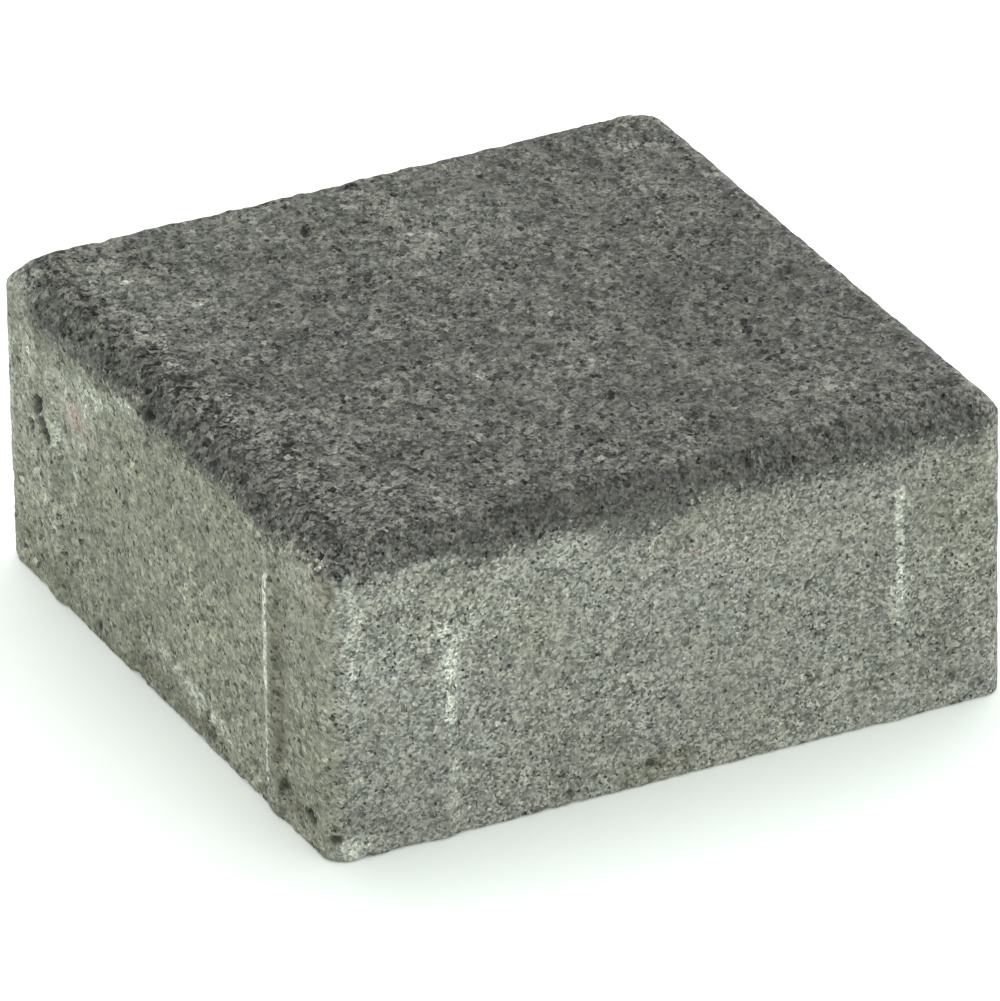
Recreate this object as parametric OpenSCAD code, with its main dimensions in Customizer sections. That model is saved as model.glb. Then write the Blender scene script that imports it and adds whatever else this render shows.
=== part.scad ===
// Square concrete paving stone: chamfered wearing face, eight spacer nibs, flat bed. Millimetres.
// The bed rests on Z = 0 and the wearing face looks up. The plan is centred on the Z axis.

/* [Stone] */
// Side of the square body in plan, without the nibs
stone_side = 152; // [120:1:184]
// Thickness from the bed to the wearing face
stone_thickness = 69; // [54:1:84]
// Radius of the four upright corners
corner_radius = 5; // [1:0.25:15]

/* [Chamfer] */
// Width of the chamfer round the wearing face, seen from above
chamfer_width = 4.8; // [2:0.2:9]
// Depth of the chamfer down the side faces
chamfer_depth = 5.2; // [2:0.2:10]

/* [Spacer nibs] */
// How far a nib stands out from its side face
nib_projection = 1.2; // [0.6:0.1:3]
// Width of a nib where it leaves the side face
nib_width = 8; // [5:0.25:12]
// Distance from the middle line of a nib to the nearer end of its side
nib_inset = 25; // [15:0.5:45]
// Distance from the wearing face down to where a nib reaches full projection
nib_drop = 16.5; // [13:0.5:30]
// Height over which the head of a nib slopes back into the side face
nib_taper = 5; // [3:0.5:7]

/* [Hidden] */
// Number of edges used when a round is shown as a mesh
$fn = 96;
// Half of the body's side
half_side = stone_side / 2;
// Half of the flat part of the wearing face
face_half = half_side - chamfer_width;
// Sideways run of the chamfer plane for each millimetre of height
chamfer_run = chamfer_width / chamfer_depth;
// Spare material a cutting shape has beyond the body
spare = 5;
// Radius of the round a nib is part of, from its width and projection
nib_radius = (nib_width * nib_width / 4 + nib_projection * nib_projection) / (2 * nib_projection);
// Distance of a nib's axis from the middle of the stone
nib_axis = half_side + nib_projection - nib_radius;
// Distance of a nib along its side from the middle of that side
nib_offset = half_side - nib_inset;
// Height of the full section of a nib
nib_height = stone_thickness - nib_drop;
// Radius of the nib's round at the top of its sloping head, inside the side face
nib_head_radius = nib_radius - 1.3 * nib_projection;

// Plan of the body: a square with round corners.
module plan() {
    difference() {
        square(stone_side, center = true);
        for (k = [0 : 3])
            rotate(90 * k)
                translate([half_side - corner_radius, half_side - corner_radius])
                    difference() {
                        square(corner_radius + spare);
                        circle(corner_radius);
                    }
    }
}

// Wedge whose two slopes are the chamfer planes of a pair of opposite sides.
module chamfer_wedge() {
    rotate([90, 0, 0])
        linear_extrude(stone_side + 2 * spare, center = true)
            polygon([
                [-face_half - chamfer_run * (stone_thickness + spare), -spare],
                [face_half + chamfer_run * (stone_thickness + spare), -spare],
                [face_half - chamfer_run * spare, stone_thickness + spare],
                [-face_half + chamfer_run * spare, stone_thickness + spare]
            ]);
}

// Half-round upright nib with a sloping head.
module nib() {
    rotate_extrude()
        polygon([
            [0, 0],
            [nib_radius, 0],
            [nib_radius, nib_height],
            [nib_head_radius, nib_height + nib_taper],
            [0, nib_height + nib_taper]
        ]);
}

// The whole stone, pressed in one piece.
module paving_stone() {
    color([0.46, 0.47, 0.44])
        union() {
            intersection() {
                linear_extrude(stone_thickness) plan();
                chamfer_wedge();
                rotate([0, 0, 90]) chamfer_wedge();
            }
            for (k = [0 : 3], s = [-1, 1])
                rotate([0, 0, 90 * k])
                    translate([nib_axis, s * nib_offset, 0])
                        nib();
        }
}

paving_stone();
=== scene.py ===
"""Square pressed-concrete paving stone: its worn surface, its finish and a plain stage for it."""

import math
from collections import namedtuple
from itertools import product
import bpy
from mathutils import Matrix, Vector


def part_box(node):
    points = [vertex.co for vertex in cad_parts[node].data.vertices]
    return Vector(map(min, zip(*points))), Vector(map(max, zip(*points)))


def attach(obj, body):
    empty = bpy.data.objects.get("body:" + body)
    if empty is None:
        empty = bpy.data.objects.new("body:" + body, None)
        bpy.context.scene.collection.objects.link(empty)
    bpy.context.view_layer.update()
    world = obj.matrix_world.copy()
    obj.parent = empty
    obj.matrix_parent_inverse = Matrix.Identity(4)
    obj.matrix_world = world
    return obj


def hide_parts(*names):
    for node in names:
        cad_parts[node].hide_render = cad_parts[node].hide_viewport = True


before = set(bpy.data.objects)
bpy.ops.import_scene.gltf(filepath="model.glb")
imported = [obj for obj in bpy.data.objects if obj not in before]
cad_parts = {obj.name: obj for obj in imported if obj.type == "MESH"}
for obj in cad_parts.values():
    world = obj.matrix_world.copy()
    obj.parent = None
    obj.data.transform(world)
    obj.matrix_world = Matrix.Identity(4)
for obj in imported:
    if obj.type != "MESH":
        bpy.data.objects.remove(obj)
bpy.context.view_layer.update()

from types import SimpleNamespace

import bpy
import numpy as np
from bpy.props import FloatProperty, FloatVectorProperty, IntProperty, PointerProperty
from bpy.types import Operator, Panel, PropertyGroup
from mathutils import Matrix, Vector, kdtree

bl_info = {
    "name": "Concrete paving stone",
    "version": (1, 0, 0),
    "blender": (4, 5, 0),
    "location": "3D View > Sidebar > Paving",
    "description": "Builds a worn square concrete paving stone and a plain stage for it",
    "category": "Add Mesh",
}

NODE = "paving_stone"
MM = 0.001
# The solid's lowest and highest corners, in millimetres, as are all sizes and places below.
LOWEST, HIGHEST = np.array(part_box(NODE)) / MM
OVER_NIBS = HIGHEST[0] - LOWEST[0]
THICKNESS = HIGHEST[2] - LOWEST[2]
# How far a nib stands out of its side.
NIB_OUT = 1.2
SEED = 20
TINY = 1e-9


# ---- settings


def length(name, description, default, low=0.0, high=500.0):
    """A length, given here in millimetres and kept in metres, as the program keeps lengths."""
    return FloatProperty(
        name=name, description=description, default=default * MM, min=low * MM, max=high * MM,
        unit="LENGTH", precision=4,
    )


def angle(name, description, degrees):
    """An angle, given here in degrees and kept in radians, as the program keeps angles."""
    return FloatProperty(
        name=name, description=description, default=math.radians(degrees), min=-math.pi, max=math.pi,
        unit="ROTATION", subtype="ANGLE",
    )


def paint(name, description, default):
    """A colour a user can pick."""
    return FloatVectorProperty(
        name=name, description=description, default=default, subtype="COLOR", size=3, min=0, max=1
    )


def amount(name, description, default, high=1.0, unit="NONE"):
    """A number from 0 up."""
    return FloatProperty(name=name, description=description, default=default, min=0, max=high, unit=unit)


def placed(context, name, data):
    """A new object in the scene."""
    made = bpy.data.objects.new(name, data)
    context.scene.collection.objects.link(made)
    return made


def in_millimetres(settings):
    """A group of settings as plain values, with its lengths in millimetres."""
    plain = SimpleNamespace()
    for name in settings.__annotations__:
        value = getattr(settings, name)
        if settings.bl_rna.properties[name].unit == "LENGTH":
            value = round(value / MM, 3)
        setattr(plain, name, value)
    return plain


WORN_TO = "Radius this corner of the wearing face is worn to"


class PavingStoneSettings(PropertyGroup):
    """Sizes of the stone, and how coarse and worn its surface is."""

    side: length("Side", "Side of the square body, without the nibs", OVER_NIBS - 2 * NIB_OUT)
    nib_projection: length("Nib projection", "How far a nib stands out", NIB_OUT)
    nib_width: length("Nib width", "Width of a nib at the side face", 8.0)
    nib_inset: length("Nib inset", "Nib's middle line to the nearer end of its side", 25.0)
    nib_drop: length("Nib drop", "Wearing face down to a nib's full projection", 16.5)
    nib_taper: length("Nib taper", "Height of a nib's sloping head", 5.0)
    corner_radius: length("Corner radius", "Radius of the upright corners", 5.0)
    chamfer_width: length("Chamfer width", "Width of the chamfer seen from above", 4.8)
    chamfer_depth: length("Chamfer depth", "Depth of the chamfer down the side", 5.2)
    arris_round: length("Arris wear", "Length worn off each way at the lower chamfer arris", 1.4)
    face_round: length("Face edge wear", "Length worn off each way at the wearing face's edge", 1.2)
    foot_round: length("Foot wear", "Length worn off each way at the bottom edge", 0.7)
    near_left: length("Near left wear", WORN_TO, 3.0)
    near_right: length("Near right wear", WORN_TO, 2.2)
    far_right: length("Far right wear", WORN_TO, 6.5)
    far_left: length("Far left wear", WORN_TO, 2.2)
    half_steps: IntProperty(name="Steps", description="Mesh steps along half a side", default=82, min=10)
    rows: IntProperty(name="Rows", description="Mesh rows up a side", default=86, min=20)
    relief: amount("Relief", "Strength of all surface relief", 1.0, 3.0)
    pits: IntProperty(name="Pits", description="Number of small pits", default=2200, min=0)


class ConcreteSettings(PropertyGroup):
    """Colours and grain of the concrete."""

    face_mix: paint("Face mix", "Dark mix of the wearing face", (0.110, 0.113, 0.101))
    face_mix_dry: paint("Face mix, drier", "Paler part of the face mix", (0.124, 0.130, 0.112))
    core_mix: paint("Core mix", "Paler mix of the body", (0.251, 0.259, 0.231))
    core_mix_olive: paint("Core mix, olive", "Olive tint in the body", (0.258, 0.267, 0.207))
    lime_bloom: paint("Lime bloom", "Pale lime deposit", (0.55, 0.58, 0.50))
    # also the colour of the painted shade beside the near nib on the left
    damp_tint: paint("Damp tint", "Brownish stain low on the sides", (0.140, 0.142, 0.104))
    rust_tint: paint("Rust tint", "Pinkish spot of iron stain", (0.36, 0.22, 0.19))
    grain_size: length("Grain size", "Width of a sand grain", 0.54, 0.1, 10.0)
    grain_stretch: amount("Grain stretch", "Length of a grain over its width, as laid", 1.3, 4.0)
    grain_turn: angle("Grain turn", "From Y to the way the grains lie", -26.0)
    grain_contrast: amount("Grain contrast", "How strongly grains differ", 1.0, 3.0)
    roughness: amount("Roughness", "Roughness of the dry surface", 0.93)
    bump: amount("Bump", "Strength of the grain's bump", 0.8, 3.0)


class StageSettings(PropertyGroup):
    """Floor, light and camera."""

    floor_size: length("Floor size", "Side of the floor", 8000.0, 100.0, 50000.0)
    floor_colour: paint("Floor colour", "Colour of the floor", (0.89, 0.95, 0.91))
    floor_glow: amount("Floor glow", "Light that the lit table gives of its own", 0.17)
    sky_strength: amount("Sky strength", "Strength of the light from all round", 0.85, 10.0)
    key_power: amount("Key power", "The large soft lamp above and behind", 28.0, 5000.0, "POWER")
    fill_power: amount("Fill power", "The soft lamp in front", 8.0, 5000.0, "POWER")
    azimuth: angle("Camera azimuth", "Way round from the front", -26.36)
    elevation: angle("Camera elevation", "Way up from level", 27.90)
    roll: angle("Camera roll", "Roll of the camera", -1.02)
    distance: length("Camera distance", "From the middle of the stone", 2666.0, 100.0, 50000.0)
    lens: amount("Lens", "Focal length", 471.5, 2000.0, "CAMERA")
    aim_right: length("Aim right", "View centre right of the stone's middle", 0.24, -500.0)
    aim_up: length("Aim up", "View centre above the stone's middle", -6.04, -500.0)


# ---- patterns of noise

# Each pattern: size of its largest features, share of its height that counts (less draws it out
# upwards, 0 makes it the same all the way up), its own number, layers, fade from layer to layer.
PATTERNS = {
    "waves": (26, 1, 3, 2, 0.5),
    "lumps": (6, 1, 11, 3, 0.6),
    "grit": (2.3, 1, 23, 2, 0.7),
    "drag lines": (2.6, 0.16, 37, 2, 0.6),
    "pit clusters": (20, 1, 51, 2, 0.5),
    "ragged along": (2.2, 1, 61, 1, 1),
    "ragged up": (2.2, 1, 67, 1, 1),
    "mix limit": (9, 0, 71, 3, 0.6),
    "clouds": (34, 1, 81, 2, 0.5),
    "mottle": (9, 1, 91, 3, 0.7),
    "specks": (3.2, 1, 97, 2, 0.8),
    "streaks": (2.4, 0.08, 103, 2, 0.7),
    "olive": (18, 1, 111, 2, 0.5),
    "roughness": (14, 1, 121, 3, 0.6),
}
# Large odd numbers that scramble a cell's place into its random value.
SCRAMBLE, SCRAMBLE_AGAIN, SCRAMBLE_START = 0x9E3779B97F4A7C15, 0xBF58476D1CE4E5B9, 7919
# How far apart in their own cells the patterns start.
PATTERN_SHIFT = 31.7


def smooth(value, low, high):
    """0 below low, 1 above high, and a soft step between."""
    share = np.clip((value - low) / (high - low), 0, 1)
    return share * share * (3 - 2 * share)


def lattice_noise(points, size, number):
    """Smooth noise from -1 to 1 with features about `size` wide."""
    place = points / size + PATTERN_SHIFT * number
    cell = np.floor(place)
    part = place - cell
    part = part * part * part * (part * (part * 6 - 15) + 10)
    cell = cell.astype(np.int64).astype(np.uint64)
    total = np.zeros(len(points))
    for corner in product((0, 1), repeat=3):
        key = np.full(len(points), number * SCRAMBLE_START + 1, np.uint64)
        weight = np.ones(len(points))
        for axis in range(3):
            key = key ^ ((cell[:, axis] + np.uint64(corner[axis])) * np.uint64(SCRAMBLE))
            key = (key ^ (key >> np.uint64(29))) * np.uint64(SCRAMBLE_AGAIN)
            key = key ^ (key >> np.uint64(32))
            weight = weight * (part[:, axis] if corner[axis] else 1 - part[:, axis])
        total += weight * ((key >> np.uint64(40)).astype(float) / 2**23 - 1)
    return total


def pattern(points, name):
    """One of the named patterns, from about -1 to 1: layers of noise, each half the size of the last."""
    size, upright_share, number, layers, fade = PATTERNS[name]
    points = points * np.array([1, 1, upright_share])
    total, strength, whole = np.zeros(len(points)), 1.0, 0.0
    for layer in range(layers):
        total += strength * lattice_noise(points, size / 2**layer, number + layer)
        whole += strength
        strength *= fade
    return total / whole


# ---- marks on the stone

# Sides are front (-Y), right (+X), back (+Y) and left (-X), with X or Y as the place along. The top
# and the bottom have X as the place along, and Y where the sides have the height.

# Lime: place along, height, half width, half height, strength.
LIME = {
    "front": [
        (-49.2, 39, 1.8, 6.5, 1), (-51.4, 47.6, 2.4, 2.2, 0.9), (-49.4, 29, 1.3, 7, 0.75),
        (-47.5, 44, 3, 1.6, 0.7), (-49, 15, 1.1, 9, 0.5), (-71.5, 60, 1.8, 3, 0.5),
        (-53, 62.2, 5, 0.8, 0.6), (-70, 52, 1.8, 6, 0.55), (-70.5, 42, 1.6, 5, 0.4),
        (-62, 44, 3, 6, 0.2), (-60, 57, 7, 4, 0.25), (-58, 40, 13, 26, 0.2), (-36, 57, 7, 3, 0.2),
        (-24, 58, 5, 3, 0.5), (-44, 48, 6, 4, 0.35), (-71.5, 2.5, 4, 2, 0.7), (51, 30, 1.3, 6, 0.6),
        (-18, 50, 9, 5, 0.15),
    ],
    "left": [
        (16.5, 61.2, 3.4, 1, 1.3), (23, 57.5, 4, 1.6, 0.5), (30, 56, 3.4, 1.8, 0.9),
        (36, 52, 4, 4.5, 0.85), (42.5, 49, 3.4, 3.4, 0.9), (46, 53.5, 2.4, 2, 0.8),
        (62, 54, 4, 5, 0.45), (47.5, 40, 2.6, 3, 1), (38, 43, 3, 1.6, 0.8),
        (40.5, 34, 1.4, 1, 0.9), (41.3, 28.5, 1.2, 1.2, 0.8), (46, 21.6, 1.2, 1.6, 0.8),
        (44, 46, 8, 12, 0.35), (4, 12, 5, 2, 0.55), (-5, 11.2, 6, 1.5, 0.75),
        (-14, 9.8, 6, 1.3, 0.8), (-23, 8, 6, 1.2, 0.75), (-31, 5.9, 4, 1, 0.5),
        (50, 18, 1.6, 5, 0.4), (60, 30, 8, 16, 0.2), (-61, 60, 7, 3.5, 0.3), (73, 40, 2.4, 26, 0.5),
        (68, 65, 4, 4, 0.5),
    ],
    "back": [(30, 48, 3, 11, 0.6), (-38, 60, 11, 3, 0.4), (-8, 22, 6, 5, 0.35), (-51, 36, 2.2, 10, 0.4)],
    "right": [(44, 57, 8, 3.5, 0.5), (-50, 40, 2.2, 9, 0.5), (6, 12, 10, 3, 0.4), (-72, 50, 2.2, 8, 0.5)],
    "top": [(-58, 52, 1.2, 1, 0.5), (-49, 36, 2.6, 1, 0.4), (-14, -20, 1.2, 1, 0.5)],
}
# Damp stains, and the painted shade beside the near nib on the left (the second entry there), in the same
# terms as lime.
DAMP_AND_NIB_SHADE = {
    "left": [
        # the second entry is painted shade down the flank of the near nib
        (-68, 46, 5, 16, 0.3), (-53.8, 27, 2.4, 24, 0.9), (-60, 7, 8, 4, 0.7), (10, 3, 38, 2, 0.4),
        (6, 5, 11, 2.4, 0.7), (-14, 3.6, 12, 1.8, 0.8), (-66, 20, 8, 16, 0.25), (61, 16, 6, 5, 0.15),
        (46, 6, 9, 3, 0.4),
    ],
    "front": [
        (62, 46, 12, 10, 0.3), (-2, 5, 8, 2.4, 0.5), (16, 36, 13, 10, 0.2), (22, 54, 9, 7, 0.22),
        (-62, 7, 10, 3, 0.35), (42, 8.8, 5, 0.8, 0.45), (60, 18, 8, 10, 0.25), (44, 20, 5, 10, 0.2),
    ],
    "back": [(55, 20, 14, 12, 0.4), (-20, 5, 24, 3, 0.6), (-60, 40, 8, 16, 0.3)],
    "right": [(-20, 6, 26, 3, 0.6), (60, 30, 9, 18, 0.35), (-60, 50, 10, 8, 0.3)],
}
# Iron stains and olive patches, in the same terms.
RUST = {
    "left": [(39.4, 47.8, 4.2, 3, 0.9), (-73, 60, 4, 3.5, 0.22)],
    "front": [(6, 50, 1.6, 1.4, 0.35)],
    "right": [(-12, 40, 2, 2.4, 0.5)],
}
OLIVE = {"front": [(76, 45, 16, 24, 1), (-2, 3, 8, 3, 1.3)]}
# Places where the dark face mix has run down: place along, half width, how far below its usual limit.
RUNS = {
    "front": [
        (-69, 3.5, -1.8), (74, 3, -1.2), (-42, 5, 2.5), (-30, 4, 1.7), (-9, 5, 3.3), (-1, 4, 3.8),
        (19, 4, 1.2), (30, 6, 2.5), (42, 5, 2.9), (54, 4, 1.8), (67, 4, 3.2),
    ],
    "left": [
        (-66, 8, -3.2), (-45, 12, -1.3), (-8, 7, -0.8), (-46, 3, 1.5), (-31, 3, -2.5), (5, 3, 2.5),
        (12, 2, -3), (32, 6, 1.2), (44, 6, 1.8), (56, 6, 2), (71, 4, -3.5),
    ],
    "back": [(-50, 7, 3), (-10, 9, 5), (38, 6, 3.5)],
    "right": [(-40, 8, 3), (0, 6, 5), (25, 9, 3.5), (60, 6, 2)],
}
# Rubbed line on a nib's crest: place along at mid height, lean, lowest, highest, strength.
RUBBED_NIBS = {
    "left": [(-49.6, -0.028, 5, 54.5, 1.5), (51, 0, 16, 40, 0.3)],
    "front": [(51, 0, 24, 54, 0.75), (-51, 0, 20, 40, 0.25)],
    "back": [(51, 0.01, 10, 52, 0.6), (-51, 0, 28, 52, 0.5)],
    "right": [(-51, -0.01, 6, 50, 0.7), (51, 0, 24, 50, 0.4)],
}
# Hollows: place along, height, half width, half height, depth.
HOLLOWS = {
    "left": [
        (54.2, 37.6, 4, 2.8, 2.2), (58.6, 42, 2.6, 2.2, 1.9), (61.8, 35.6, 1.5, 1.6, 1.2),
        (55.5, 44.5, 1.6, 1.8, 1.2), (5.2, 63.8, 2, 1.4, 1.5), (-55, 8.7, 2, 1.7, 1.2),
        (-66.5, 7.2, 2.2, 1.8, 1.6), (-75, 5, 1.5, 1.5, 1.2), (42, 12, 1.6, 2.2, 0.7),
        (66, 8, 1.6, 1.6, 0.7), (16.5, 38, 1.2, 1.3, 0.6), (-20, 31, 0.8, 3, 0.5),
        (-30, 18, 0.8, 3.4, 0.5),
    ],
    "front": [
        (-4.8, 4.7, 1.8, 1.2, 0.8), (-23.6, 2.8, 1.4, 1, 0.8), (-9.7, 2.2, 1.2, 0.9, 0.6),
        (3.5, 5.5, 1.3, 1.1, 0.6), (30.5, 35.8, 1.3, 1, 0.8), (42, 8.9, 5, 0.7, 0.35),
        (64, 7, 1.6, 1.2, 0.7), (70, 4.6, 3, 0.8, 0.7), (33, 14, 1.5, 1, 0.6),
        (-13, 12, 1.6, 1.2, 0.6),
    ],
    "top": [
        (-16, 54, 1.6, 1.6, 0.8), (29, 37.5, 1.4, 1.6, 0.7), (62.6, -8, 1.5, 1.5, 0.7),
        (-60, -27.5, 2.2, 1.4, 0.9), (-11.2, -34.6, 1.3, 1.5, 0.7), (-60.6, 38.8, 2, 1.5, 0.9),
        (-63, -52, 1.6, 1.3, 0.7), (46, 12, 1.2, 1.6, 0.5), (5, -8, 1.1, 1.3, 0.5),
        (-66, 46, 1.5, 2, 0.7), (-67, 8, 1.6, 2.8, 0.7), (-66, -6, 1.4, 2.2, 0.6),
    ],
    "back": [
        (-36, 30, 1.6, 2.2, 0.7), (22, 52, 1.3, 1.3, 0.6), (48, 7, 2.4, 1.6, 0.7),
        (-61, 12, 1.2, 1.5, 0.8),
    ],
    "right": [
        (28, 26, 1.5, 1.9, 0.7), (-44, 50, 1.3, 1.3, 0.6), (8, 5, 2.8, 1.5, 0.7),
        (63, 47, 1.2, 1.7, 0.8),
    ],
    "bottom": [
        (31, 17, 3.4, 2.4, 1), (-44, -12, 2.2, 3.8, 0.9), (5, -52, 3.8, 2.4, 0.8),
        (-20, 48, 1.8, 2.2, 0.8), (-11, 52, 1.4, 1.3, 0.7), (60, -34, 2.6, 1.8, 0.9),
        (-62, 58, 3.2, 1.8, 0.6), (47, 61, 1.6, 2.6, 0.7), (12, 2, 1.5, 1.5, 0.6),
    ],
}
# Crumbs lost from an edge: edge, how many, smallest radius, spread of radius, depth.
CRUMBS = [
    ("arris", 110, 0.9, 1.8, 0.40), ("face edge", 110, 0.9, 1.6, 0.35),
    ("foot", 120, 0.8, 1, 0.20), ("foot", 10, 1.2, 1.2, 0.40),
]
# How high each pattern of relief stands on each zone of the stone.
RELIEF = {
    "flat": {"waves": 0.12, "lumps": 0.24, "grit": 0.26},
    "chamfer": {"waves": 0.14, "lumps": 0.26, "grit": 0.26},
    "upright": {"waves": 0.08, "lumps": 0.10, "grit": 0.15, "drag lines": 0.10},
    "bed": {"waves": 0.20, "lumps": 0.34, "grit": 0.26},
}
# How far each zone is drawn in, so that its relief stays inside the solid.
SETTLED = {"flat": 0.24, "chamfer": 0.15, "bed": 0.20}
# How soft the edge of a mark is: a mark falls off as exp(-MARK_SOFTNESS * reach squared).
MARK_SOFTNESS = 0.7


def side_place(points, normals):
    """For each side, how squarely each point faces it, and the point's two places on it."""
    x, y, z = points.T
    nx, ny, nz = normals.T
    upright = (0.35, 0.65)
    return {
        "front": (smooth(-ny, *upright), x, z), "right": (smooth(nx, *upright), y, z),
        "back": (smooth(ny, *upright), x, z), "left": (smooth(-nx, *upright), y, z),
        "top": (smooth(nz, 0.74, 0.95), x, y), "bottom": (smooth(-nz, 0.5, 0.8), x, y),
    }


def each_mark(sides, marks):
    """Every mark of a list, after how squarely each point faces its side and the point's two places."""
    for side, found in marks.items():
        for mark in found:
            yield *sides[side], *mark


def marked(sides, marks):
    """Strength of a list of soft oval marks at each point."""
    total = np.zeros(len(sides["top"][0]))
    for facing, place, level, along, height, wide, tall, strength in each_mark(sides, marks):
        reach = ((place - along) / wide) ** 2 + ((level - height) / tall) ** 2
        total = np.maximum(total, facing * strength * np.exp(-MARK_SOFTNESS * reach))
    return total


def zones(points, sides, stone):
    """How far each point belongs to the wearing face, the chamfer, the sides and the bed."""
    flat, bed = sides["top"][0], sides["bottom"][0]
    arris, blur = THICKNESS - stone.chamfer_depth, 0.6
    chamfer = smooth(points[:, 2], arris - blur, arris + blur) * (1 - flat)
    upright = np.clip(1 - flat - bed - chamfer, 0, 1)
    return {"flat": flat, "chamfer": chamfer, "upright": upright, "bed": bed}


def by_zone(zone, amounts):
    """One amount for each zone, blended where zones meet."""
    return sum(amount_there * zone[name] for name, amount_there in amounts.items())


# ---- the smooth stone's mesh

Shape = namedtuple("Shape", "places sides top bed rim climbed")
# Points on the worn curve of an edge.
CURVE_POINTS = 9
# How far the mesh rows of the sides reach in over the bed and over the wearing face.
OVER_BED, OVER_FACE = 0.9, 0.1
# The bed's own grid starts this far inside its outline, with corners of this radius.
BED_RIM, BED_CORNER = 1.1, 3.4


def rounded_square(square, half, radius):
    """Places on a round-cornered square, from places on the plain square of half side 1."""
    flat = square * half[:, None]
    inner = np.clip(flat, -(half - radius)[:, None], (half - radius)[:, None])
    away = flat - inner
    distance = np.linalg.norm(away, axis=1)
    distance[distance < TINY] = 1.0
    return inner + away / distance[:, None] * radius[:, None]


def side_profile(stone):
    """Inset and height of each mesh row, from the foot to the wearing face, and the climb up to it."""
    foot = stone.foot_round
    inner = stone.chamfer_width + stone.face_round + OVER_FACE
    # each corner: inset, height, and how far each way its worn curve reaches
    corners = [
        (foot + OVER_BED, 0.0, 0.0), (0.0, 0.0, foot),
        (0.0, THICKNESS - stone.chamfer_depth, stone.arris_round),
        (stone.chamfer_width, THICKNESS, stone.face_round), (inner, THICKNESS, 0.0),
    ]
    line = []
    for index, (inset, height, worn) in enumerate(corners):
        here = np.array([inset, height])
        if worn == 0.0:
            line.append(here)
            continue
        before = np.array(corners[index - 1][:2]) - here
        after = np.array(corners[index + 1][:2]) - here
        before, after = before / np.linalg.norm(before), after / np.linalg.norm(after)
        for share in np.linspace(0, 1, CURVE_POINTS):
            line.append(here + worn * (before * (1 - share) ** 2 + after * share**2))
    line = np.array(line)
    run = np.r_[0, np.cumsum(np.linalg.norm(np.diff(line, axis=0), axis=1))]
    at = np.linspace(0, run[-1], stone.rows)
    return np.interp(at, run, line[:, 0]), np.interp(at, run, line[:, 1]), at


def corner_at(stone, inset, square):
    """Radius of the corner nearest each place of a square: it blends up the chamfer into the worn one."""
    right, far = square[:, 0] > 0, square[:, 1] > 0
    worn = np.select(
        [~right & ~far, right & ~far, right & far],
        [stone.near_left, stone.near_right, stone.far_right], stone.far_left,
    )
    blended = min(inset / (stone.chamfer_width + stone.face_round), 1)
    return stone.corner_radius + (worn - stone.corner_radius) * blended


def nib_bulge(stone, along, height, half):
    """How far the half-round nibs stand out of a side at a height, for each place along it."""
    wide, out = stone.nib_width / 2, stone.nib_projection
    radius = (wide * wide + out * out) / (2 * out)
    full = THICKNESS - stone.nib_drop
    # the sloping head sinks a little further than the nib stands out, so it ends inside the side
    slope = np.clip((height - full) / stone.nib_taper, 0, 1.2)
    radius_here = radius - 1.3 * out * slope
    bulge = np.zeros(len(along))
    for middle in (-half + stone.nib_inset, half - stone.nib_inset):
        across = radius_here**2 - (along - middle) ** 2
        bulge = np.maximum(bulge, np.sqrt(np.maximum(across, 0)) - (radius - out))
    worn_foot = 0.55 + 0.45 * smooth(height, 0, 6)
    return bulge * worn_foot


def square_ring(steps):
    """Places round the plain square of half side 1, and each one's way out and way along."""
    side, step = np.divmod(np.arange(4 * steps), steps)
    step = step * 2.0 / steps - 1.0
    one = np.ones(len(step))
    square = np.select(
        [(side == k)[:, None] for k in range(4)],
        [np.c_[step, -one], np.c_[one, step], np.c_[-step, one], np.c_[-one, -step]],
    )
    outward = np.array([[0, -1], [1, 0], [0, 1], [-1, 0]])[side]
    along = np.array([[1, 0], [0, 1], [-1, 0], [0, -1]])[side]
    return square, outward, along


def square_grid(steps):
    """A grid on the plain square: each place's share of the way out, and the place it lies behind."""
    count = np.arange(steps + 1)
    gx, gy = (axis.ravel() for axis in np.meshgrid(count, count, indexing="ij"))
    u, v = gx * 2.0 / steps - 1, gy * 2.0 / steps - 1
    reach = np.maximum(np.abs(u), np.abs(v))
    return reach, np.c_[u, v] / np.where(reach < TINY, 1.0, reach)[:, None]


def rim_of(grid):
    """The outermost entries of a square grid, in the order of square_ring."""
    return np.r_[grid[:-1, 0], grid[-1, :-1], grid[:0:-1, -1], grid[0, :0:-1]]


def grid_quads(grid):
    """Four corners of every square of a grid, anticlockwise seen from above."""
    return np.c_[grid[:-1, :-1].ravel(), grid[1:, :-1].ravel(), grid[1:, 1:].ravel(), grid[:-1, 1:].ravel()]


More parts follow.
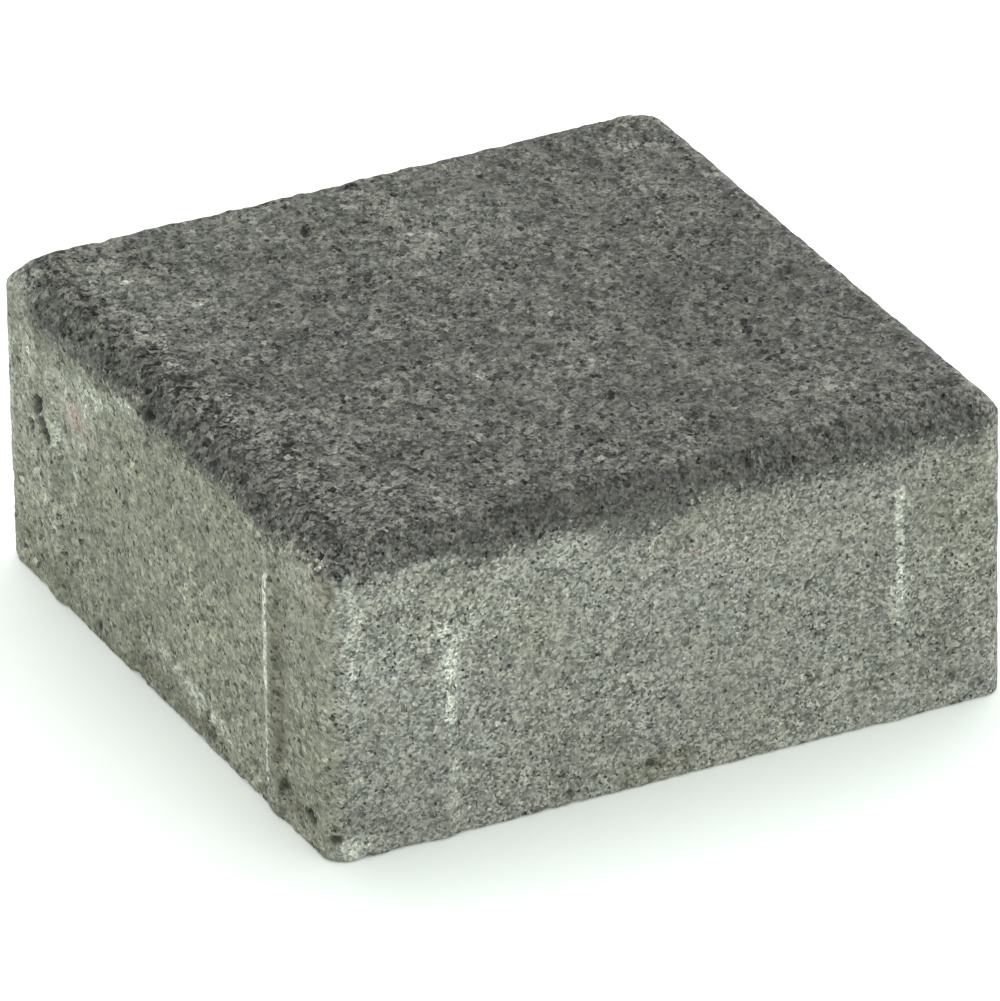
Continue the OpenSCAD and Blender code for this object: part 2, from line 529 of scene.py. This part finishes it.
def stone_shape(stone):
    """Places and faces of the smooth stone, before wear."""
    steps, half = 2 * stone.half_steps, stone.side / 2
    insets, heights, climbed = side_profile(stone)
    square, outward, along = square_ring(steps)
    ring = len(square)
    places = []
    for inset, height in zip(insets, heights):
        plan = rounded_square(square, np.full(ring, half - inset), corner_at(stone, inset, square))
        bulge = nib_bulge(stone, (plan * along).sum(1), height, half)
        places.append(np.c_[plan + outward * bulge[:, None], np.full(ring, height)])
    rows = np.arange(stone.rows * ring).reshape(stone.rows, ring)
    onward = np.roll(rows, -1, axis=1)
    sides = np.stack([rows[:-1], onward[:-1], onward[1:], rows[1:]], -1).reshape(-1, 4)

    # wearing face: nested squares that share the last row of the sides
    reach, outline = square_grid(steps)
    grid = np.full((steps + 1, steps + 1), -1)
    grid.ravel()[rim_of(np.arange(grid.size).reshape(grid.shape))] = rows[-1]
    inside = grid.ravel() < 0
    grid.ravel()[inside] = rows.size + np.arange(inside.sum())
    reach, outline = reach[inside], outline[inside]
    corners = corner_at(stone, insets[-1], outline)
    plan = rounded_square(outline, (half - insets[-1]) * reach, corners * reach)
    places.append(np.c_[plan, np.full(len(plan), THICKNESS)])
    top = grid_quads(grid)

    # bed: a grid with half as many steps, joined to the first row by one ring of triangles
    reach, outline = square_grid(stone.half_steps)
    plan = rounded_square(outline, (half - insets[0] - BED_RIM) * reach, BED_CORNER * reach)
    first = rows.size + inside.sum()
    places.append(np.c_[plan, np.zeros(len(plan))])
    grid = first + np.arange(len(plan)).reshape(stone.half_steps + 1, stone.half_steps + 1)
    bed = grid_quads(grid)[:, [0, 3, 2, 1]]
    even, odd, rim = rows[0][0::2], rows[0][1::2], rim_of(grid)
    rim_on = np.roll(rim, -1)
    joined = np.r_[np.c_[odd, even, rim], np.c_[odd, rim, rim_on], np.c_[np.roll(even, -1), odd, rim_on]]
    return Shape(np.concatenate(places), sides, top, bed, joined, climbed)


def unfolded(shape):
    """A place in the unit square for every face corner: both flat faces over two strips of sides."""
    side_rows = len(shape.climbed) - 1
    ring = len(shape.sides) // side_rows
    low = shape.places[:ring]
    run = np.r_[0, np.cumsum(np.linalg.norm(np.roll(low, -1, axis=0) - low, axis=1))]
    gap, flat, strip_length = 1.5, OVER_NIBS + 0.5, run[-1] / 2
    strip_height = shape.climbed[-1] + gap
    span = max(strip_length + 2 * gap, 2 * strip_height + flat + 2 * gap)
    row, walk = np.divmod(np.arange(len(shape.sides)), ring)
    strip = (walk >= ring // 2).astype(float)
    left, right = run[walk] - strip * strip_length, run[walk + 1] - strip * strip_length
    below = shape.climbed[row] + strip * strip_height
    above = shape.climbed[row + 1] + strip * strip_height
    sides = np.stack([np.c_[left, below], np.c_[right, below], np.c_[right, above], np.c_[left, above]], 1)
    top_at = np.array([OVER_NIBS / 2 + gap * 0.5, 2 * strip_height + flat / 2 + gap])
    bed_at = top_at + np.array([span - flat - gap * 0.5, 0])
    mirrored = np.array([-1, 1])
    parts = [
        sides + gap, shape.places[shape.top][:, :, :2] + top_at,
        shape.places[shape.bed][:, :, :2] * mirrored + bed_at,
        shape.places[shape.rim][:, :, :2] * mirrored + bed_at,
    ]
    return np.concatenate([part.reshape(-1, 2) for part in parts]) / span


def make_mesh(name, shape):
    """A mesh of a shape, with its unfolded places as the map to bake on."""
    mesh = bpy.data.meshes.new(name)
    faces = [shape.sides, shape.top, shape.bed, shape.rim]
    sizes = np.concatenate([np.full(len(block), block.shape[1]) for block in faces])
    corners = np.concatenate([block.ravel() for block in faces])
    mesh.vertices.add(len(shape.places))
    mesh.vertices.foreach_set("co", (shape.places * MM).astype(np.float32).ravel())
    mesh.loops.add(len(corners))
    mesh.loops.foreach_set("vertex_index", corners.astype(np.int32))
    mesh.polygons.add(len(sizes))
    starts = np.r_[0, np.cumsum(sizes)[:-1]]
    mesh.polygons.foreach_set("loop_start", starts.astype(np.int32))
    mesh.polygons.foreach_set("use_smooth", np.ones(len(sizes), bool))
    mesh.update(calc_edges=True)
    layer = mesh.uv_layers.new(name="OFBake")
    layer.uv.foreach_set("vector", unfolded(shape).astype(np.float32).ravel())
    if mesh.validate():
        raise RuntimeError("the stone's mesh had faults")
    return mesh


def normals_of(mesh):
    """Unit normal of each vertex."""
    found = np.zeros(len(mesh.vertices) * 3, np.float32)
    mesh.vertices.foreach_get("normal", found)
    return found.reshape(-1, 3).astype(float)


# ---- wear and relief


def lumps_on(points, zone):
    """Waves, lumps, grit and drag lines of the pressed surface, outwards."""
    found = {name: pattern(points, name) for name in RELIEF["upright"]}
    return sum(
        zone[name] * sum(height * found[kind] for kind, height in heights.items())
        for name, heights in RELIEF.items()
    )


def pitted(points, tree, picks, radii, depths):
    """Depth of the hollows that many small round pits leave at each point."""
    found = np.zeros(len(points))
    for centre, radius, depth in zip(points[picks], radii, depths):
        for _place, index, away in tree.find_range(Vector(centre), radius):
            found[index] = max(found[index], depth * (1 - (away / radius) ** 2) ** 1.5)
    return found


def small_pits(points, tree, zone, stone, random):
    """Depth of the small pits, which are thicker on the sides, and thickest low down and underneath."""
    low_down = 0.4 * smooth(-points[:, 2], -22, -4)
    chance = by_zone(zone, {"flat": 0.55, "chamfer": 0.6, "upright": 0.5 + low_down, "bed": 0.9})
    chance *= 0.4 + 1.2 * smooth(pattern(points, "pit clusters"), -0.1, 0.5)
    picks = random.choice(len(points), stone.pits, replace=False, p=chance / chance.sum())
    radii = 1.1 + 1.1 * random.rand(stone.pits) ** 3
    depths = 0.22 + 0.55 * random.rand(stone.pits) ** 2
    depths *= 1 + 0.3 * zone["bed"][picks] - 0.25 * zone["flat"][picks]
    return pitted(points, tree, picks, radii, depths)


def lost_crumbs(points, tree, stone, random):
    """Depth of the crumbs lost from the edges."""
    x, y, z = points.T
    rim = np.maximum(np.abs(x), np.abs(y))
    face_rim = stone.side / 2 - stone.chamfer_width - stone.face_round
    edges = {
        "arris": np.abs(z - THICKNESS + stone.chamfer_depth) < 0.9,
        "face edge": (z > THICKNESS - 0.9) & (rim > face_rim),
        "foot": (z < 1.0) & (rim > stone.side / 2 - 1.5),
    }
    lost = np.zeros(len(points))
    for edge, number, small, spread, depth in CRUMBS:
        picks = random.choice(np.nonzero(edges[edge])[0], number)
        radii = small + spread * random.rand(number) ** 2.5
        depths = depth * (0.35 + 0.65 * random.rand(number))
        lost = np.maximum(lost, pitted(points, tree, picks, radii, depths))
    return lost


def hollows_in(points, sides, zone, stone):
    """Depth of pits, lost crumbs and large hollows, and the shade painted inside them."""
    random = np.random.RandomState(SEED)
    tree = kdtree.KDTree(len(points))
    for index, point in enumerate(points):
        tree.insert(point, index)
    tree.balance()
    hollow = small_pits(points, tree, zone, stone, random)
    hollow = np.maximum(hollow, lost_crumbs(points, tree, stone, random))
    # painted shade inside the deeper pits and crumbs
    dark = np.clip((hollow - 0.25) / 1.2, 0, 1)
    # the few large hollows, with ragged outlines
    ragged = 0.8
    shove, lift = ragged * pattern(points, "ragged along"), ragged * pattern(points, "ragged up")
    for facing, place, level, along, height, wide, tall, depth in each_mark(sides, HOLLOWS):
        reach = ((place + shove - along) / wide) ** 2 + ((level + lift - height) / tall) ** 2
        bowl = depth * facing * np.clip(1 - reach, 0, 1) ** 0.7
        hollow = np.maximum(hollow, bowl)
        # painted shade inside each large hollow, from near its lip
        dark = np.maximum(dark, smooth(bowl, 0.1, 1.1))
    return hollow, dark


def worn_places(places, normals, zone, hollow, stone):
    """Places of the stone with its relief and wear, inside the solid's own box and resting on its bed."""
    out = (lumps_on(places, zone) - hollow) * stone.relief - by_zone(zone, SETTLED)
    moved = np.clip(places + normals * out[:, None], LOWEST, HIGHEST)
    # the bed stays near the ground, apart from its hollows
    bed = (places[:, 2] < 0.02) & (hollow < 0.1)
    moved[bed, 2] = np.minimum(moved[bed, 2], 0.12)
    return moved


# ---- what the finish needs at each point


def face_mix_limit(points, sides, stone):
    """How far each point lies above the ragged line where the dark face mix ends."""
    usual = THICKNESS - stone.chamfer_depth - 1.5
    run = 0.9 * pattern(points, "mix limit")
    for facing, place, _level, along, wide, depth in each_mark(sides, RUNS):
        run = run + facing * depth * np.exp(-MARK_SOFTNESS * ((place - along) / wide) ** 2)
    return points[:, 2] - usual + run


def rubbed_nibs(sides):
    """Distance from the pale rubbed line on each nib's crest, and the line's strength at each height."""
    away = np.full(len(sides["top"][0]), 9.0)
    rubbed = np.zeros(len(away))
    for facing, place, level, along, lean, low, high, strength in each_mark(sides, RUBBED_NIBS):
        across = place - along - lean * (level - THICKNESS / 2)
        near = (facing > 0.5) & (np.abs(across) < 4.5)
        away[near] = across[near]
        # the strength stops short of where the distance jumps, or a second line would show there
        crest = near & (np.abs(across) < 3)
        ends = smooth(level, low - 1, low + 2) * smooth(-level, -high - 1, -high + 2)
        rubbed[crest] = strength * ends[crest]
    return away, rubbed


def lightness(points, sides, zone, above, stone):
    """Broad light and dark changes of the surface's colour, painted light and shade among them, as a
    logarithm, 0 for none.
    """
    x, y, z = points.T
    flat, chamfer, upright = zone["flat"], zone["chamfer"], zone["upright"]
    mottle = pattern(points, "mottle")
    tone = 0.16 * pattern(points, "clouds")
    tone += by_zone(zone, {"flat": 0.32, "chamfer": 0.24, "upright": 0.10}) * mottle
    tone += by_zone(zone, {"flat": 0.34, "chamfer": 0.24, "upright": 0.09}) * pattern(points, "specks")
    # the chamfer and a ragged strip inside it are darker, most of all on the left; on the chamfer this is
    # painted shade, where it turns from the light
    inset = stone.side / 2 - np.maximum(np.abs(x), np.abs(y))
    leftward = smooth(-x - np.abs(y), -10, 0)
    strip = 1.9 + 2.4 * leftward + 0.5 * mottle
    rim = smooth(stone.chamfer_width + strip - inset, -1.0, 1.4)
    tone -= rim * (flat * (0.02 + 0.28 * leftward) + chamfer * (0.18 + 0.03 * leftward))
    # the chamfer is paler at the corners, near the left one and along the right half
    tone += 0.15 * chamfer * smooth(np.minimum(np.abs(x), np.abs(y)), 66, 73)
    tone += 0.14 * chamfer * leftward * (smooth(-y, 20, 50) + 0.7 * smooth(-y, 58, 72))
    tone += 0.08 * chamfer * smooth(x, 10, 50)
    # a painted highlight along the right edge, where its chamfer catches the light, with a painted shade
    # strip inside it
    right_edge_painted_light = (flat + chamfer) * smooth(x - np.abs(y), -10, 0)
    face_edge = -stone.chamfer_width
    tone += 0.40 * right_edge_painted_light * smooth(-inset, face_edge - 1.9, face_edge - 0.9)
    tone -= 0.10 * right_edge_painted_light * smooth(-inset, face_edge - 4, face_edge - 2)
    # the sides are painted paler low down, as light thrown up from the floor, but for the left foot, and
    # are stained and streaked under the face mix
    tone += 0.07 * upright * smooth(-z, -16, -2)
    # a painted shadow along the foot of the left side, where it meets the floor
    tone -= 0.12 * sides["left"][0] * smooth(-z, -3.2, -0.8)
    tone -= 0.20 * upright * (above < 0) * np.exp(-np.clip(-above, 0, 30) / 4.0)
    tone += 0.10 * upright * pattern(points, "streaks") * (0.5 + sides["left"][0])
    return tone


def finish_values(points, sides, zone, dark, stone):
    """Everything the concrete's finish reads, as one number for each point under each name."""
    x, y, _z = points.T
    left = sides["left"][0]
    across_x = np.maximum(left, sides["right"][0])
    above = face_mix_limit(points, sides, stone)
    across_nib, rubbed = rubbed_nibs(sides)
    rim_left = (zone["flat"] + zone["chamfer"]) * smooth(-x, 60, 68)
    near_corner = zone["flat"] * smooth(-x - y, 10, 110)
    rough = 1 + 0.35 * pattern(points, "roughness") + 0.3 * near_corner + 0.4 * rim_left
    olive = 0.18 + 0.62 * left + 0.5 * marked(sides, OLIVE) + 0.35 * pattern(points, "olive")
    return {
        "above": above,
        "tone": lightness(points, sides, zone, above, stone),
        # the shade painted inside hollows
        "dark": dark,
        "coarse": 0.72 + by_zone(zone, {"flat": 1.35, "chamfer": 0.45}) + 0.65 * across_x,
        "fine": 0.98 + by_zone(zone, {"flat": -0.10, "chamfer": 0.10}) - 0.45 * across_x,
        "rough": rough,
        "dry": smooth(y * 0.8 - x * 0.35, 5, 80),
        "olive": olive,
        "lime": marked(sides, LIME),
        "damp_and_nib_shade": marked(sides, DAMP_AND_NIB_SHADE),
        "rust": marked(sides, RUST),
        "across_nib": across_nib,
        "rubbed": rubbed,
    }


class OBJECT_OT_paving_stone(Operator):
    """Build the worn paving stone in place of the plain solid"""

    bl_idname = "object.paving_stone_add"
    bl_label = "Paving stone"
    bl_options = {"REGISTER", "UNDO"}

    def execute(self, context):
        stone = in_millimetres(context.scene.paving_stone)
        shape = stone_shape(stone)
        mesh = make_mesh(NODE + "_worn", shape)
        normals = normals_of(mesh)
        sides = side_place(shape.places, normals)
        zone = zones(shape.places, sides, stone)
        hollow, dark = hollows_in(shape.places, sides, zone, stone)
        worn = worn_places(shape.places, normals, zone, hollow, stone)
        mesh.vertices.foreach_set("co", (worn * MM).astype(np.float32).ravel())
        mesh.update()
        for name, numbers in finish_values(shape.places, sides, zone, dark, stone).items():
            layer = mesh.attributes.new(name, "FLOAT", "POINT")
            layer.data.foreach_set("value", numbers.astype(np.float32))
        piece = placed(context, "stone_worn", mesh)
        mesh.materials.append(concrete(in_millimetres(context.scene.concrete_finish)))
        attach(piece, "root")
        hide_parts(NODE)
        return {"FINISHED"}


# ---- the concrete's finish

# Shares of grains that are pin holes, bright sand, pale gravel and dark gravel.
PIN_HOLES, BRIGHT_SAND, PALE_GRAVEL, DARK_GRAVEL = 0.06, 0.035, 0.022, 0.05
# Gravel, patches and ragged outlines, in widths of a sand grain.
GRAVEL_WIDTH, PATCH_WIDTH, RAGGED_REACH = 2.2, 5.0, 1.1
# Height that a bump value of 1 stands for, in millimetres.
BUMP_HEIGHT = 0.35


def fill_in(node, **values):
    """Set a node's inputs; a name's underscores stand for spaces."""
    for name, value in values.items():
        node.inputs[name.replace("_", " ")].default_value = value


class Look:
    """Adds nodes to a material and joins them."""

    def __init__(self, name, stretch, turn):
        self.material = bpy.data.materials.new(name)
        self.material.use_nodes = True
        self.tree = self.material.node_tree
        self.shader = self.tree.nodes["Principled BSDF"]
        laid = self.add("ShaderNodeMapping", vector_type="TEXTURE")
        fill_in(laid, Rotation=(0, 0, turn), Scale=(1, stretch, 1))
        self.join(self.add("ShaderNodeTexCoord").outputs["Object"], laid.inputs["Vector"])
        self.place = laid.outputs["Vector"]
        self.ragged = self.place

    def add(self, kind, **values):
        """A new node with some of its own settings."""
        node = self.tree.nodes.new(kind)
        for name, value in values.items():
            setattr(node, name, value)
        return node

    def join(self, source, socket):
        """Link a socket, or set a plain value on it."""
        if isinstance(source, bpy.types.NodeSocket):
            self.tree.links.new(source, socket)
        else:
            socket.default_value = source

    def maths(self, operation, first, second=0.0, third=0.0):
        """One sum."""
        node = self.add("ShaderNodeMath", operation=operation)
        for source, socket in zip((first, second, third), node.inputs):
            self.join(source, socket)
        return node.outputs[0]

    def spread(self, value, low, high, to_low=0.0, to_high=1.0):
        """A value drawn from one range out over another, and held inside it."""
        node = self.add("ShaderNodeMapRange", clamp=True)
        for source, name in (
            (value, "Value"), (low, "From Min"), (high, "From Max"),
            (to_low, "To Min"), (to_high, "To Max"),
        ):
            self.join(source, node.inputs[name])
        return node.outputs["Result"]

    def centred(self, value):
        """A value from 0 to 1 moved to lie round 0."""
        return self.maths("SUBTRACT", value, 0.5)

    def noise(self, size, detail, rough=0.5):
        """Noise with features about `size` millimetres wide: a shade from about 0 to 1, and a colour."""
        node = self.add("ShaderNodeTexNoise", noise_dimensions="3D")
        self.join(self.place, node.inputs["Vector"])
        fill_in(node, Scale=1.0 / (size * MM), Detail=detail, Roughness=rough)
        return node.outputs["Fac"], node.outputs["Color"]

    def make_ragged(self, size, reach):
        """Shake the places that cells are drawn from, so that grains get ragged outlines."""
        shaken = self.add("ShaderNodeVectorMath", operation="MULTIPLY_ADD")
        self.join(self.noise(size, 1.0)[1], shaken.inputs[0])
        shaken.inputs[1].default_value = (reach * MM, reach * MM, reach * MM)
        self.join(self.place, shaken.inputs[2])
        self.ragged = shaken.outputs[0]

    def cells(self, size):
        """Cells about `size` millimetres wide: three random shades of each, and how far from its middle."""
        node = self.add("ShaderNodeTexVoronoi", feature="F1")
        self.join(self.ragged, node.inputs["Vector"])
        fill_in(node, Scale=1.0 / (size * MM))
        split = self.add("ShaderNodeSeparateColor")
        self.join(node.outputs["Color"], split.inputs[0])
        return (*split.outputs, node.outputs["Distance"])

    def blend(self, share, first, second, kind="MIX"):
        """One colour blended into another."""
        node = self.add("ShaderNodeMix", data_type="RGBA", blend_type=kind, clamp_factor=True)
        self.join(share, node.inputs["Factor"])
        # other sockets share the names of the two colours, so these go by number
        for source, index in ((first, 6), (second, 7)):
            if not isinstance(source, bpy.types.NodeSocket):
                source = (*source, 1.0)
            self.join(source, node.inputs[index])
        return node.outputs[2]

    def stored(self, name):
        """One of the numbers stored on the mesh."""
        return self.add("ShaderNodeAttribute", attribute_name=name).outputs["Fac"]


def concrete(finish):
    """Dry pressed concrete: dark face mix over a paler core mix, with lime bloom, damp and grain, and
    painted light and shade.
    """
    look = Look("concrete", finish.grain_stretch, finish.grain_turn)
    look.make_ragged(finish.grain_size, finish.grain_size * RAGGED_REACH)
    sand, sand_warmth, sand_pick, off_middle = look.cells(finish.grain_size)
    gravel, gravel_pick, gravel_share, _off = look.cells(finish.grain_size * GRAVEL_WIDTH)
    patch = look.noise(finish.grain_size * PATCH_WIDTH, 2.0, 0.6)[0]
    pin = look.maths("GREATER_THAN", sand_pick, 1 - PIN_HOLES)

    colour = stained(look, finish, mixes(look, finish, patch, gravel_share, sand_warmth), sand, patch)
    grain = grain_shade(look, finish, sand, sand_pick, pin, gravel, gravel_pick, patch)
    # painted shade inside the hollows, joined to the broad tone
    hollow_shade = look.maths("MULTIPLY_ADD", look.stored("dark"), -1.7, look.stored("tone"))
    speckled = look.add("ShaderNodeVectorMath", operation="SCALE")
    look.join(colour, speckled.inputs[0])
    look.join(look.maths("EXPONENT", look.maths("ADD", grain, hollow_shade)), speckled.inputs["Scale"])
    warm = look.blend(gravel, (0.97, 1.0, 1.015), (1.03, 1.0, 0.97))
    look.join(look.blend(1.0, speckled.outputs[0], warm, "MULTIPLY"), look.shader.inputs["Base Color"])
    fill_in(look.shader, Roughness=finish.roughness, Specular_IOR_Level=0.25)

    # bump: grains stand proud as small domes, pin holes sink in
    dome = look.maths("MULTIPLY", look.maths("SUBTRACT", 1.0, off_middle), look.maths("ADD", sand, 0.35))
    height = look.maths("MULTIPLY_ADD", patch, 0.7, look.maths("MULTIPLY", dome, 0.6))
    height = look.maths("MULTIPLY_ADD", pin, -0.6, height)
    bump = look.add("ShaderNodeBump")
    fill_in(bump, Strength=finish.bump, Distance=BUMP_HEIGHT * MM)
    look.join(height, bump.inputs["Height"])
    look.join(bump.outputs["Normal"], look.shader.inputs["Normal"])
    return look.material


def mixes(look, finish, patch, gravel_share, sand_warmth):
    """Colour of the face mix above its ragged limit, and of the core mix below."""
    limit = look.stored("above")
    for source, reach in ((patch, 4.0), (gravel_share, 1.8), (sand_warmth, 3.0)):
        limit = look.maths("MULTIPLY_ADD", look.centred(source), reach, limit)
    face = look.blend(look.stored("dry"), finish.face_mix, finish.face_mix_dry)
    core = look.blend(look.stored("olive"), finish.core_mix, finish.core_mix_olive)
    return look.blend(look.spread(limit, -1.0, 0.7), core, face)


def stained(look, finish, colour, sand, patch):
    """A colour with the stains and deposits on it, and the shade painted beside one nib, broken up by the
    grain of the surface.
    """
    broken = look.maths("MULTIPLY_ADD", look.centred(sand), 0.20, patch)
    # damp stains, and the painted shade beside the near nib on the left
    damp_and_nib_shade = look.maths("MULTIPLY", look.stored("damp_and_nib_shade"), look.maths("ADD", broken, 0.55))
    colour = look.blend(look.spread(damp_and_nib_shade, 0.12, 0.80, 0, 0.8), colour, finish.damp_tint)
    bloom = look.maths("MULTIPLY", look.stored("lime"), look.spread(broken, 0.25, 0.65, 0.55, 1.1))
    bloom = look.spread(look.maths("MAXIMUM", bloom, nib_line(look, patch)), 0.05, 0.95, 0, 0.9)
    colour = look.blend(bloom, colour, finish.lime_bloom)
    rust = look.maths("MULTIPLY", look.stored("rust"), look.spread(broken, 0.3, 0.7))
    return look.blend(rust, colour, finish.rust_tint)


def nib_line(look, patch):
    """Pale broken line down the crest of each nib, where it rubs on the next stone."""
    line = look.spread(look.maths("ABSOLUTE", look.stored("across_nib")), 0.55, 1.45, 1, 0)
    line = look.maths("MULTIPLY", line, look.stored("rubbed"))
    return look.maths("MULTIPLY", line, look.spread(patch, 0.28, 0.60, 0.6, 1.1))


def grain_shade(look, finish, sand, sand_pick, pin, gravel, gravel_pick, patch):
    """How much lighter or darker each grain is than the rest, with pin holes and bright grains."""
    lump = look.maths("MULTIPLY", look.centred(patch), 0.40)
    lump = look.maths("MULTIPLY_ADD", look.centred(gravel), 0.45, lump)
    pale = look.maths("LESS_THAN", gravel_pick, PALE_GRAVEL)
    dark = look.maths("GREATER_THAN", gravel_pick, 1 - DARK_GRAVEL)
    lump = look.maths("MULTIPLY_ADD", pale, 0.34, lump)
    lump = look.maths("MULTIPLY_ADD", dark, -0.42, lump)
    spot = look.maths("MULTIPLY", look.centred(sand), look.stored("fine"))
    bright = look.maths("LESS_THAN", sand_pick, BRIGHT_SAND)
    grain = look.maths("MULTIPLY_ADD", spot, 1.25, look.maths("MULTIPLY", lump, look.stored("coarse")))
    grain = look.maths("MULTIPLY_ADD", pin, -0.85, grain)
    grain = look.maths("MULTIPLY_ADD", bright, 0.42, grain)
    contrast = look.maths("MULTIPLY", look.stored("rough"), finish.grain_contrast)
    grain = look.maths("MULTIPLY", grain, contrast)
    # pale grains differ less than dark ones
    return look.maths("MULTIPLY", grain, look.maths("MULTIPLY_ADD", grain, -0.22, 1.0))


# ---- the stage

# Side and place of each soft lamp, in metres. Both look at the stone.
KEY_SIZE, KEY_PLACE = 2.2, (0.55, 0.95, 1.9)
FILL_SIZE, FILL_PLACE, FILL_AIM = 1.4, (0.9, -2.2, 1.1), (0, 0, 0.03)


def lamp(context, name, power, size, place, aim=(0, 0, 0)):
    """A square soft lamp that looks at a point."""
    data = bpy.data.lights.new(name, "AREA")
    data.shape, data.size, data.energy = "SQUARE", size, power
    made = placed(context, name, data)
    made.location = place
    made.rotation_euler = (Vector(aim) - Vector(place)).to_track_quat("-Z", "Y").to_euler()


def plain_floor(context, stage):
    """The pale floor, which gives a little light of its own."""
    half = stage.floor_size / 2
    mesh = bpy.data.meshes.new("floor")
    corners = [(-half, -half, 0), (half, -half, 0), (half, half, 0), (-half, half, 0)]
    mesh.from_pydata(corners, [], [(0, 1, 2, 3)])
    finish = bpy.data.materials.new("floor")
    finish.use_nodes = True
    pale = (*stage.floor_colour, 1)
    fill_in(
        finish.node_tree.nodes["Principled BSDF"], Base_Color=pale, Roughness=0.9,
        Specular_IOR_Level=0.1, Emission_Color=pale, Emission_Strength=stage.floor_glow,
    )
    finish.cycles.emission_sampling = "NONE"
    mesh.materials.append(finish)
    floor = placed(context, "floor", mesh)


def stage_light(context, stage):
    """White light from all round, with one soft lamp above and behind and one in front."""
    world = bpy.data.worlds.new("sky")
    world.use_nodes = True
    fill_in(world.node_tree.nodes["Background"], Color=(1, 1, 1, 1), Strength=stage.sky_strength)
    context.scene.world = world
    lamp(context, "key", stage.key_power, KEY_SIZE, KEY_PLACE)
    lamp(context, "fill", stage.fill_power, FILL_SIZE, FILL_PLACE, FILL_AIM)
    context.scene.view_settings.view_transform = "Standard"


def stage_camera(context, stage):
    """Camera that looks down on one corner of the stone from far away."""
    data = bpy.data.cameras.new("camera")
    data.lens, data.sensor_width = stage.lens, 36.0
    data.clip_start, data.clip_end = 0.05, 50.0
    level_back = Vector((math.sin(stage.azimuth), -math.cos(stage.azimuth), 0))
    back = level_back * math.cos(stage.elevation) + Vector((0, 0, math.sin(stage.elevation)))
    level = Vector((math.cos(stage.azimuth), math.sin(stage.azimuth), 0))
    upright = back.cross(level)
    right = level * math.cos(stage.roll) + upright * math.sin(stage.roll)
    up = upright * math.cos(stage.roll) - level * math.sin(stage.roll)
    middle = Vector((0, 0, THICKNESS * MM / 2))
    place = middle + right * stage.aim_right + up * stage.aim_up + back * stage.distance
    camera = placed(context, "camera", data)
    camera.matrix_world = Matrix.Translation(place) @ Matrix((right, up, back)).transposed().to_4x4()
    context.scene.camera = camera


class SCENE_OT_paving_stage(Operator):
    """Lay a plain pale floor under the stone and set soft light and a camera round it"""

    bl_idname = "scene.paving_stage_add"
    bl_label = "Stage"
    bl_options = {"REGISTER", "UNDO"}

    def execute(self, context):
        stage = context.scene.paving_stage
        plain_floor(context, stage)
        stage_light(context, stage)
        stage_camera(context, stage)
        return {"FINISHED"}


# ---- panel and main


class VIEW3D_PT_paving(Panel):
    """Lists the stone's and the stage's settings"""

    bl_label = "Concrete paving stone"
    bl_space_type = "VIEW_3D"
    bl_region_type = "UI"
    bl_category = "Paving"

    def draw(self, context):
        scene = context.scene
        for group, maker in (
            (scene.paving_stone, OBJECT_OT_paving_stone.bl_idname),
            (scene.concrete_finish, None),
            (scene.paving_stage, SCENE_OT_paving_stage.bl_idname),
        ):
            box = self.layout.box()
            for name in group.__annotations__:
                box.prop(group, name)
            if maker:
                box.operator(maker)


SETTINGS = {
    "paving_stone": PavingStoneSettings, "concrete_finish": ConcreteSettings, "paving_stage": StageSettings,
}
CLASSES = (*SETTINGS.values(), OBJECT_OT_paving_stone, SCENE_OT_paving_stage, VIEW3D_PT_paving)


def register():
    for made in CLASSES:
        bpy.utils.register_class(made)
    for name, group in SETTINGS.items():
        setattr(bpy.types.Scene, name, PointerProperty(type=group))


def unregister():
    for name in SETTINGS:
        delattr(bpy.types.Scene, name)
    for made in reversed(CLASSES):
        bpy.utils.unregister_class(made)


def main():
    register()
    bpy.ops.scene.paving_stage_add()
    bpy.ops.object.paving_stone_add()


if __name__ == "__main__":
    main()
